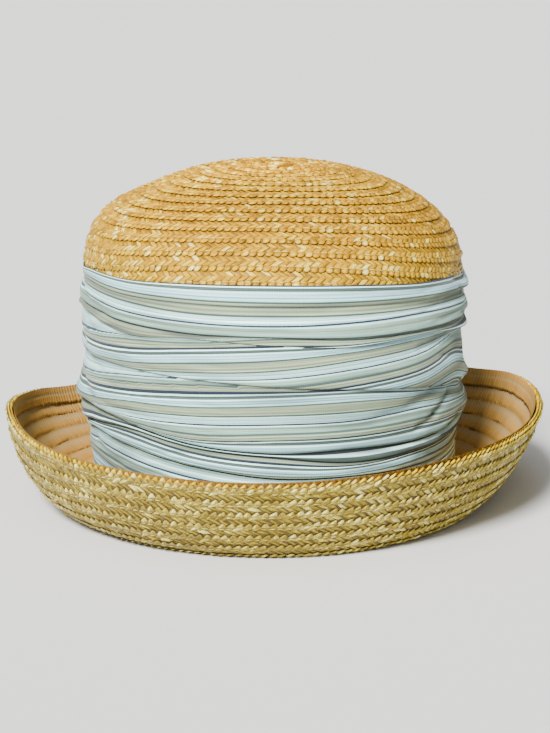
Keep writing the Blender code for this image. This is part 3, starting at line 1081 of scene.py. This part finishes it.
# How far each of those edges stands out, in mm
foldDepths = {
    "upper": (0.5, 0.5, 0.5, 0.5, 0.6, 0.6, 0.7, 1.2, 1.8, 0.8, 0.6, 0.6),
    "shelf": (1.5, 1.2, 0.9, 0.8, 0.7, 0.9, 1.1, 1.6, 2.2, 1.2, 0.9, 1.2),
    "wedge": (1.4, 1.0, 0.7, 0.1, 0.1, 0.8, 0.9, 1.6, 2.2, 1.0, 0.6, 0.9),
    "middle": (1.4, 1.0, 0.7, 0.6, 0.7, 1.1, 1.4, 1.6, 1.5, 1.2, 0.9, 1.0),
    "belt": (3.4, 2.6, 2.0, 1.8, 1.6, 1.0, 1.2, 2.2, 2.6, 1.4, 1.2, 2.0),
    "under": (2.4, 1.6, 1.0, 0.5, 0.8, 0.5, 1.3, 1.6, 1.8, 1.0, 0.8, 1.2),
    "low": (1.2, 1.0, 1.2, 1.2, 1.3, 0.6, 0.5, 0.7, 0.8, 0.7, 0.8, 0.9),
    "foot": (0.9, 0.8, 0.7, 0.6, 0.6, 0.5, 0.5, 0.6, 0.7, 0.6, 0.6, 0.7),
}
sashTop = (108.2, 111.0, 112.2, 114.6, 115.3, 114.0, 110.8, 108.6, 105.8, 111, 114, 111)
# Lines of the striped pattern: the place in the repeat that shows there, and its
# height at the stations. Where two lines lie together, the cloth between is hidden.
repeatLength = 47.6       # one repeat of the stripes, in units of 0.459 mm
stripeLines = (
    (0.5, sashTop),
    (4.8, (107.2, 109.9, 111.3, 113.2, 113.9, 112.5, 109.2, 106.5, 104.0, 109, 112, 109)),
    (14.1, (106.3, 107.3, 107.6, 108.3, 108.5, 107.4, 105.3, 102.7, 100.0, 103, 106, 107)),
    (17.5, foldHeights["upper"]),
    (23.7, (102.5, 103.0, 102.9, 102.5, 102.8, 101.9, 100.2, 98.0, 95.6, 98, 101, 102)),
    (31.8, (99.8, 99.4, 98.5, 98.6, 98.6, 98.7, 98.0, 95.6, 92.8, 95, 97, 99)),
    (41.0, foldHeights["shelf"]),
    (14.0, tuple(z - 0.01 for z in foldHeights["shelf"])),
    (22.0, tuple(w if k < 4 or k > 8 else s - 0.02
                 for k, (w, s) in enumerate(zip(foldHeights["wedge"], foldHeights["shelf"])))),
    (27.0, (90.3, 91.1, 88.5, 91.3, 93.55, 91.45, 89.95, 88.35, 86.45, 81.9, 83.9, 86.9)),
    (31.8, (81.6, 83.6, 88.0, 91.2, 93.5, 91.4, 89.9, 88.3, 86.4, 80, 82, 84)),
    (41.0, (80.6, 82.0, 86.6, 89.8, 93.3, 91.2, 89.7, 88.1, 86.2, 79, 81, 82)),
    (48.4, (79.3, 79.5, 82.6, 87.4, 89.9, 89.0, 88.6, 86.2, 84.0, 77.5, 79, 80)),
    (52.4, (76.8, 77.3, 80.6, 85.7, 88.3, 88.3, 88.3, 84.7, 81.1, 76, 77, 78)),
    (61.7, (73.0, 73.6, 76.4, 81.1, 83.9, 85.8, 86.2, 84.2, 80.4, 74, 73, 74)),
    (71.3, (71.6, 72.1, 73.7, 76.9, 79.4, 82.2, 83.1, 83.4, 79.4, 72, 70.1, 71.1)),
    (79.4, (62.4, 64.8, 70.3, 73.8, 75.9, 78.3, 79.9, 82.4, 78.0, 69, 67, 66)),
    ((90, 90, 90, 90, 88.4, 101, 116, 133, 124, 96, 90, 90),
     (60.6, 62.6, 67.0, 71.0, 72.2, 69.3, 64.4, 59.4, 55.1, 62.1, 63, 62)),
    (92.0, (60.5, 62.5, 66.9, 70.9, 72.1, 69.2, 64.3, 59.3, 55.0, 62.0, 62.9, 61.9)),
    (96.0, (58.8, 60.2, 64.0, 68.2, 70.0, 69.1, 64.2, 59.2, 54.9, 61.9, 61, 60)),
    (100.0, (56.8, 58.0, 61.8, 65.8, 68.2, 68.0, 63.2, 58.2, 53.9, 60, 59, 58)),
    (109.3, (51.8, 54.0, 59.2, 61.8, 64.0, 64.1, 61.0, 56.6, 52.2, 57, 57, 55)),
    (118.9, (49.6, 51.2, 55.3, 58.1, 60.0, 59.5, 57.9, 54.9, 50.4, 54, 54, 52)),
    (127.0, (48.9, 50.6, 52.5, 54.5, 56.1, 55.6, 55.5, 52.0, 48.6, 51, 52, 50.5)),
    (136.1, (48.5, 50.3, 50.4, 50.0, 52.0, 51.6, 50.6, 48.4, 46.8, 49.5, 51, 50)),
    (141.0, (48.3, 50.2, 49.6, 48.4, 50.0, 49.7, 48.6, 46.6, 45.6, 49, 50.6, 49.6)),
    (147.6, (48.2, 50.1, 49.3, 46.9, 48.3, 47.5, 46.9, 45.2, 45.0, 48.6, 50.4, 49.4)),
    (155.5, foldHeights["belt"]),
    (185.0, tuple(z - 0.01 for z in foldHeights["belt"])),
    ((191.2, 191.2, 191.2, 191.2, 191.2, 191.6, 192.2, 192.2, 192, 191.2, 191.2, 191.2),
     (42.0, 46.0, 48.2, 44.7, 42.9, 42.6, 40.9, 40.7, 43.0, 44, 46, 45)),
    (196.0, foldHeights["under"]),
    (181.0, tuple(z - 0.01 for z in foldHeights["under"])),
    (190.4, (37.2, 41.6, 45.0, 41.6, 39.3, 35.9, 36.2, 35.9, 38.0, 38.5, 39, 39)),
    (195.2, (36.4, 40.6, 42.6, 39.4, 36.9, 34.6, 35.0, 34.8, 36.0, 37, 37, 37)),
    (204.0, (35.4, 39.4, 39.6, 36.3, 33.6, 32.2, 32.4, 32.2, 33.0, 34, 35, 35)),
    (208.0, foldHeights["low"]),
    (214.0, tuple(z - 0.01 for z in foldHeights["low"])),
    (222.0, (30.6, 33.6, 32.6, 29.8, 27.8, 27.0, 26.0, 26.0, 26.0, 27, 28, 29)),
    (238.0, (24.1, 26.1, 23.6, 21.1, 20.1, 19.6, 19.1, 19.1, 19.1, 20.1, 21.1, 22.1)),
    (245.0, tuple(z - 0.01 for z in foldHeights["foot"])),
    (270.0, (4.6,) * 12),
)
# Stripes in one repeat: where each starts, and its colour
stripeColors = (
    (0.0, "navy"), (2.1, "white"), (3.6, "sage"), (6.4, "white"), (7.8, "sky"),
    (10.6, "mint"), (11.4, "sky"), (13.4, "moss"), (15.0, "cream"), (16.4, "beige"),
    (18.2, "cream"), (19.2, "beige"), (21.8, "cream"), (22.9, "moss"), (24.5, "ice"),
    (26.8, "mint"), (27.6, "white"), (29.0, "ice"), (31.0, "ink"), (32.5, "white"),
    (33.6, "mint"), (35.4, "beige"), (36.2, "mint"), (39.7, "sage"), (41.9, "cream"),
    (43.8, "beige"), (45.2, "cream"),
)
clothColors = {
    "navy": (0.010, 0.020, 0.034),
    "white": (0.600, 0.900, 0.850),
    "sage": (0.058, 0.100, 0.088),
    "sky": (0.310, 0.560, 0.620),
    "moss": (0.048, 0.080, 0.058),
    "beige": (0.195, 0.245, 0.155),
    "ice": (0.350, 0.600, 0.590),
    "ink": (0.014, 0.030, 0.052),
    "mint": (0.225, 0.370, 0.305),
    "cream": (0.280, 0.350, 0.240),
}


def atStations(values, turns):
    return smoothCurve(np.array(stations, float) + 85, values, 360 * turns + 85, 360)


def crownRadiusAt(turns, heights):
    # The crown's outline at a height: columns of one turn share a section line
    made = np.empty_like(heights)
    for turn in np.unique(turns):
        k = int(round((turn % 1) * Skin.turnCount)) % Skin.turnCount
        chosen = turns == turn
        made[chosen] = np.interp(-heights[chosen], -crownSkin.rawHeight[k], crownSkin.rawRadius[k])
    return made


def makeSash(material):
    c = sashCloth
    columns = c["columns"]
    names = list(foldHeights)
    turns = 0.5 + np.arange(columns + 1) / columns
    folds = np.array([atStations(foldHeights[n], turns) for n in names])
    depths = np.array([atStations(foldDepths[n], turns) for n in names])
    depths = np.maximum(1.35 * depths, 0.05)
    top = atStations(sashTop, turns)
    bottom = np.full_like(top, c["floorGap"])
    edges = np.vstack((top, folds, bottom))
    roots = np.vstack((0.35 * np.ones_like(top), 0.12 * depths))
    lips = np.vstack((depths, 0.5 * np.ones_like(top)))
    heights, lifts, stripes, shades = [], [], [], []
    places = [row[0] if isinstance(row[0], tuple) else (row[0],) * len(stations)
              for row in stripeLines]
    phases = np.array([atStations(place, turns) for place in places])
    lines = np.array([atStations(row[1], turns) for row in stripeLines])
    lines = np.minimum.accumulate(lines, axis=0)

    def phaseAt(level, high, low):
        # The pattern's place at a level, read on the pleat between two folds
        level = np.clip(level, low + 0.02, high - 0.02)
        return np.array([np.interp(-level[k], -lines[:, k], phases[:, k])
                         for k in range(columns + 1)])

    def addRow(level, lift, phase, shade=0.0):
        heights.append(level)
        lifts.append(lift)
        stripes.append(phase)
        shades.append(shade + 0 * level)

    topPhase = phaseAt(top, top, folds[0])
    for share in np.linspace(1, 0, c["topHem"]):
        under = share * 4.0
        addRow(top - under, 0.12 + 0.22 * (1 - share) + 0 * top, topPhase - 2 * under)
    for k in range(len(edges) - 1):
        high, low = edges[k], edges[k + 1]
        root, lip = roots[k], lips[k]
        for step in range(c["pleatRows"]):
            share = (step + 0.5) / c["pleatRows"]
            spread = share ** 0.9
            level = high - (high - low) * spread
            belly = 0.55 * lip * math.sin(math.pi * min(share * 1.15, 1.0)) * (0.4 + 0.6 * share)
            turned = 1 - (1 - min(1.0, 6.0 * (1 - share))) ** 2
            lift = root + (lip - root) * wave(share * 1.1) * (0.75 + 0.25 * turned) + 0.3 * belly
            # the shade that the pleat above throws
            gap = high - level
            if k:
                below = 0.75 * np.exp(-gap / 0.4) + 0.30 * np.exp(-gap / 1.6)
                below = below * np.clip(depths[k - 1], 0, 1)
            else:
                below = 0.30 * np.exp(-gap / 0.8)
            # painted shade over the lowest part of each pleat, where it rolls under
            lipShade = 0.32 * np.exp(-(level - low) / 0.8) * np.clip(lip / 1.2, 0, 1)
            addRow(level, lift, phaseAt(level, high, low), below + lipShade)
        last = phaseAt(low, high, low)
        if k < len(edges) - 2:
            nextRoot = roots[k + 1]
            for step in range(c["lipRows"]):
                share = (step + 1) / c["lipRows"]
                level = low + 1.1 * share ** 1.5 * np.minimum(lip, 1.0)
                # the turn under each pleat is painted in shade, darker further under
                addRow(level, lip * 0.8 * (1 - share) + nextRoot * share, last + 1.5 * share,
                       0.4 + 0.6 * share)
        else:
            for share in np.linspace(0, 1, 4):
                addRow(low + 3.0 * share, 0.45 * (1 - share) + 0.1 + 0 * low, last + 4 * share)
    heights, lifts, stripes, shades = (np.array(x) for x in (heights, lifts, stripes, shades))
    rows = len(heights)
    degrees = 360 * turns[None, :] + 0 * heights
    # fine ridges of the ruching, long round the hat and short down it
    drift = 6 * softNoise(degrees / 40, heights / 30, 31, around=9)
    ridges = softNoise(degrees / 24, (heights + drift) / 3.4, c["seed"], 2, around=15)
    fine = softNoise(degrees / 15, (heights + drift) / 1.5, c["seed"] + 1, 1, around=24)
    calm = wave((top[None, :] - heights) / 5) * wave((heights - 6) / 4)
    lifts = lifts + c["ruffle"] * calm * (0.8 * ridges + 0.25 * fine) + c["thick"] + 0.15
    # painted shade in the valleys of the ruching ridges
    shades = shades + 0.70 * calm * np.clip(-ridges - 0.06, 0, 1) + 0.30 * calm * np.clip(-fine, 0, 1)
    # the big bulge at the left, and hollows that the creases press in
    for azimuth, height, wide, tall, out in sashBulges:
        away = (degrees - azimuth + 180) % 360 - 180
        lifts = lifts + out * np.exp(-(away / wide) ** 2 - ((heights - height) / tall) ** 2)
    for (startAzimuth, startHeight), (endAzimuth, endHeight), deep, wide in sashCreases:
        away = (degrees - startAzimuth + 180) % 360 - 180
        span = endAzimuth - startAzimuth
        share = np.clip(away / span, -0.2, 1.2)
        line = startHeight + (endHeight - startHeight) * share
        fade = wave((share + 0.1) * 4) * wave((1.1 - share) * 4)
        press = fade * np.exp(-((heights - line) / wide) ** 2)
        lifts = lifts - deep * press
        # and painted shade in each crease
        shades = np.maximum(shades, 0.65 * np.minimum(deep, 1.0) * press ** 2)
    lifts = np.maximum(lifts, 0.25)
    flatTurns = np.repeat(turns[None, :], rows, axis=0)
    base = crownRadiusAt(flatTurns.ravel(), (heights * mm).ravel()).reshape(heights.shape)
    shown = base - hatSizes["rowStep"] + lifts * mm
    slope = np.clip((heights - 106) / 10, 0, 1)
    raised = heights * mm + slope * lifts * mm * 0.6
    angle = 2 * math.pi * flatTurns
    coords = np.stack((shown * np.sin(angle), -shown * np.cos(angle), raised), axis=-1)

    work = ringGrid(columns, rows - 1)
    uvLayer = work.loops.layers.uv.new("cloth")
    around = turns * c["girth"]
    for face in work.faces:
        for loop in face.loops:
            i = int(round(loop.vert.co.x * columns))
            j = int(round(loop.vert.co.y * (rows - 1)))
            loop[uvLayer].uv = (around[i] / mm, stripes[j, i] / repeatLength)
    mesh = meshOf(work)
    flat = coordsOf(mesh)
    i = np.round(flat[:, 0] * columns).astype(int)
    j = np.round(flat[:, 1] * (rows - 1)).astype(int)
    setCoords(mesh, coords[j, i])
    # the painted shade of pleats, their turns, the ruching and the creases
    setAttribute(mesh, "fold", np.clip(shades, 0, 1)[j, i])
    work = bmesh.new()
    work.from_mesh(mesh)
    bmesh.ops.remove_doubles(work, verts=work.verts, dist=1e-6)
    bmesh.ops.reverse_faces(work, faces=work.faces)
    work.to_mesh(mesh)
    work.free()
    area = sum(face.area for face in mesh.polygons)
    print("sash:", len(mesh.polygons), "squares, area", round(area, 4))
    sash = wholePiece("sash_cloth", mesh, material)
    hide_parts("sash")
    return sash


# Bulges of the sash: azimuth and height of the middle, reach each way, height
sashBulges = (
    (-90, 46.0, 14, 6.0, 2.4),
    (-88, 88.0, 16, 7.0, 0.8),
    (80, 60.0, 10, 3.2, 2.2),
    (78, 98.0, 14, 6.0, 1.0),
    (86, 44.0, 14, 6.0, 1.2),
)
# Creases: start and end as azimuth and height, depth and half width in mm
sashCreases = (
    ((26, 55.8), (42, 57.6), 0.7, 1.6),
    ((38, 57.2), (58, 62.0), 1.1, 1.7),
    ((40, 46.0), (52, 50.5), 0.9, 1.5),
    ((49, 49.8), (64, 57.0), 1.2, 1.6),
    ((41, 81.5), (52, 85.0), 1.0, 1.5),
    ((50, 85.2), (64, 82.4), 1.2, 1.5),
    ((62, 82.0), (88, 78.0), 1.5, 1.8),
    ((56, 39.8), (72, 44.0), 1.4, 1.5),
    ((60, 58.5), (80, 57.0), 1.3, 1.7),
    ((-80, 99.0), (-52, 94.8), 0.7, 1.6),
    ((-84, 92.0), (-60, 84.0), 0.6, 1.8),
    ((-78, 60.0), (-60, 54.0), 0.9, 1.8),
    ((-70, 34.0), (-46, 27.0), 0.8, 1.6),
    ((-76, 72.0), (-56, 68.5), 0.6, 1.5),
    ((55, 101.0), (86, 97.0), 0.9, 1.6),
    ((48, 93.0), (84, 92.0), 0.8, 1.5),
    ((52, 76.0), (84, 70.0), 0.8, 1.7),
    ((62, 107.0), (88, 102.5), 0.9, 1.3),
    ((66, 103.0), (88, 94.0), 1.2, 1.3),
    ((70, 90.0), (90, 86.0), 1.2, 1.4),
    ((-88, 103.0), (-68, 97.0), 0.8, 1.4),
    ((-90, 80.0), (-70, 75.0), 0.8, 1.5),
)


def clothPaint():
    # Fine ribbed cotton, striped along its length
    paint = Paint("striped_cotton", roughness=0.82, Sheen_Weight=0.12, Sheen_Roughness=0.5,
                  Specular_IOR_Level=0.25)
    around, place, _ = paint.uv("cloth")
    inRepeat = place.math("FRACT")
    stops = [(start / repeatLength, clothColors[name]) for start, name in stripeColors]
    stripe = paint.ramp(inRepeat, stops, "CONSTANT")
    down = place * repeatLength
    # self lines along the cloth, and fine ribs across it
    lines = paint.noise(paint.join(around * 0.004, down * 0.52, 0.0), 1.0, 2.0)
    ribs = (around * (2 * math.pi / 0.90)).math("SINE")
    slub = paint.noise(paint.join(around * 0.10, down * 0.8, 0.0), 1.0, 3.0)
    selfLines = (down * (2 * math.pi / 2.38)).math("SINE")
    # bands: broad lighter and darker bands down the cloth, in part painted shading of the ruching
    bands = paint.noise(paint.join(around * 0.006, down * 0.16, 0.0), 1.0, 2.0)
    shade = (0.97 + (lines - 0.5) * 1.9 + (bands - 0.5) * 1.3 + selfLines * 0.16
             + ribs * 0.06 + (slub - 0.5) * 0.25)
    tinted = paint.node("ShaderNodeVectorMath", {"operation": "SCALE"}, {0: stripe, "Scale": shade})
    # painted shade: the cloth turns near black where the fold shade is strong
    tinted = paint.mix(paint.attribute("fold") * 0.85, tinted, (0.030, 0.036, 0.040))
    relief = lines * 0.5 + ribs * 0.12 + slub * 0.3
    return paint.finish(Base_Color=tinted, Roughness=0.76 + slub * 0.14,
                        Normal=paint.bump(relief, 0.00022, 0.8))


# Build it

crownStraw = strawPaint("crown_plaited_straw", strawLooks["crown"])
brimStraw = strawPaint("brim_plaited_straw", strawLooks["brim"])
rimStraw = strawPaint("rim_plaited_straw", strawLooks["rim"])
crownBack = wallPaint("crown_shaded_straw", wallLooks["crown"])
brimBack = wallPaint("brim_shaded_straw", wallLooks["brim"])
brimComb = combPaint("brim_comb_straw")
crownComb = combPaint("crown_comb_straw")
rimComb = combPaint("rim_comb_straw")

crownWall = makeCrownWall(crownBack)
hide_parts("crown")
makeCrownInside(crownComb)
makeCrownPlait(crownStraw)
print("crown done")

brimWall = makeBrimWall(brimBack)
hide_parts("brim")
makeCollar(brimComb)
makeBrimInside(brimComb)
makeBrimPlait("brim_plait_lower", (0, 1, 2, 3), brimStraw, brimPlait["seed"])
makeBrimPlait("brim_plait_upper", (4, 5, 6, 7), brimStraw, brimPlait["seed"] + 1)
print("brim done")

facing = makeRimFacing(rimComb)
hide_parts("rim_facing")
makeRimTeeth(rimStraw)
print("rim done")

makeSash(clothPaint())
print("sash done")


# Floor, light and camera

studio = {
    "floor": (0.65, 0.65, 0.65),
    "world": (1.0, 1.0, 1.0),
    "worldStrength": 0.28,
    "lookAt": (0.0, 0.0, 0.080),
    "elevation": 11.5,
    "distance": 1.2,
    "focalPixels": 2617.2,       # focal length in pixels of the 550 by 733 frame
    "frameHeight": 733,
    "lowerBy": 45.5,             # the hat sits this many pixels over the middle
    "sideways": -0.7,
}
# Lamps: name, azimuth and elevation that they shine from, softness, power and colour
lamps = (
    ("key", -20, 40, 16, 11.0, (1.0, 0.985, 0.96)),
    ("front", -12, 16, 24, 0.80, (1.0, 0.99, 0.97)),
    ("top", -60, 78, 40, 0.60, (1.0, 1.0, 1.0)),
)


def makeStudio():
    work = bmesh.new()
    bmesh.ops.create_grid(work, x_segments=2, y_segments=2, size=12.0)
    floor = bpy.data.objects.new("floor", meshOf(work))
    bpy.context.scene.collection.objects.link(floor)
    paint = Paint("pale_floor", roughness=0.9, Specular_IOR_Level=0.1)
    floor.data.materials.append(paint.finish(Base_Color=studio["floor"]))
    floor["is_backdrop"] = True
    for name, azimuth, elevation, softness, power, color in lamps:
        lamp = bpy.data.lights.new(name, "SUN")
        lamp.angle = math.radians(softness)
        lamp.energy = power
        lamp.color = color
        holder = bpy.data.objects.new(name, lamp)
        holder.rotation_euler = (math.radians(90 - elevation), 0, math.radians(azimuth))
        bpy.context.scene.collection.objects.link(holder)
    world = bpy.data.worlds.new("studio")
    world.use_nodes = True
    sky = world.node_tree.nodes["Background"]
    sky.inputs["Color"].default_value = (*studio["world"], 1.0)
    sky.inputs["Strength"].default_value = studio["worldStrength"]
    bpy.context.scene.world = world


def makeCamera():
    lens = bpy.data.cameras.new("camera")
    lens.sensor_width = 36.0
    lens.lens = studio["focalPixels"] * lens.sensor_width / studio["frameHeight"]
    camera = bpy.data.objects.new("camera", lens)
    rise = math.radians(studio["elevation"])
    x, y, z = studio["lookAt"]
    away = studio["distance"]
    camera.location = (x, y - away * math.cos(rise), z + away * math.sin(rise))
    dip = math.atan2(studio["lowerBy"], studio["focalPixels"])
    yaw = math.atan2(studio["sideways"], studio["focalPixels"])
    camera.rotation_euler = (math.pi / 2 - rise - dip, 0, yaw)
    bpy.context.scene.collection.objects.link(camera)
    bpy.context.scene.camera = camera


makeStudio()
makeCamera()
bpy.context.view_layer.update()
triangles = {o.name: sum(len(f.vertices) - 2 for f in o.data.polygons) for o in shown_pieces()}
print("triangles", sum(triangles.values()), triangles)
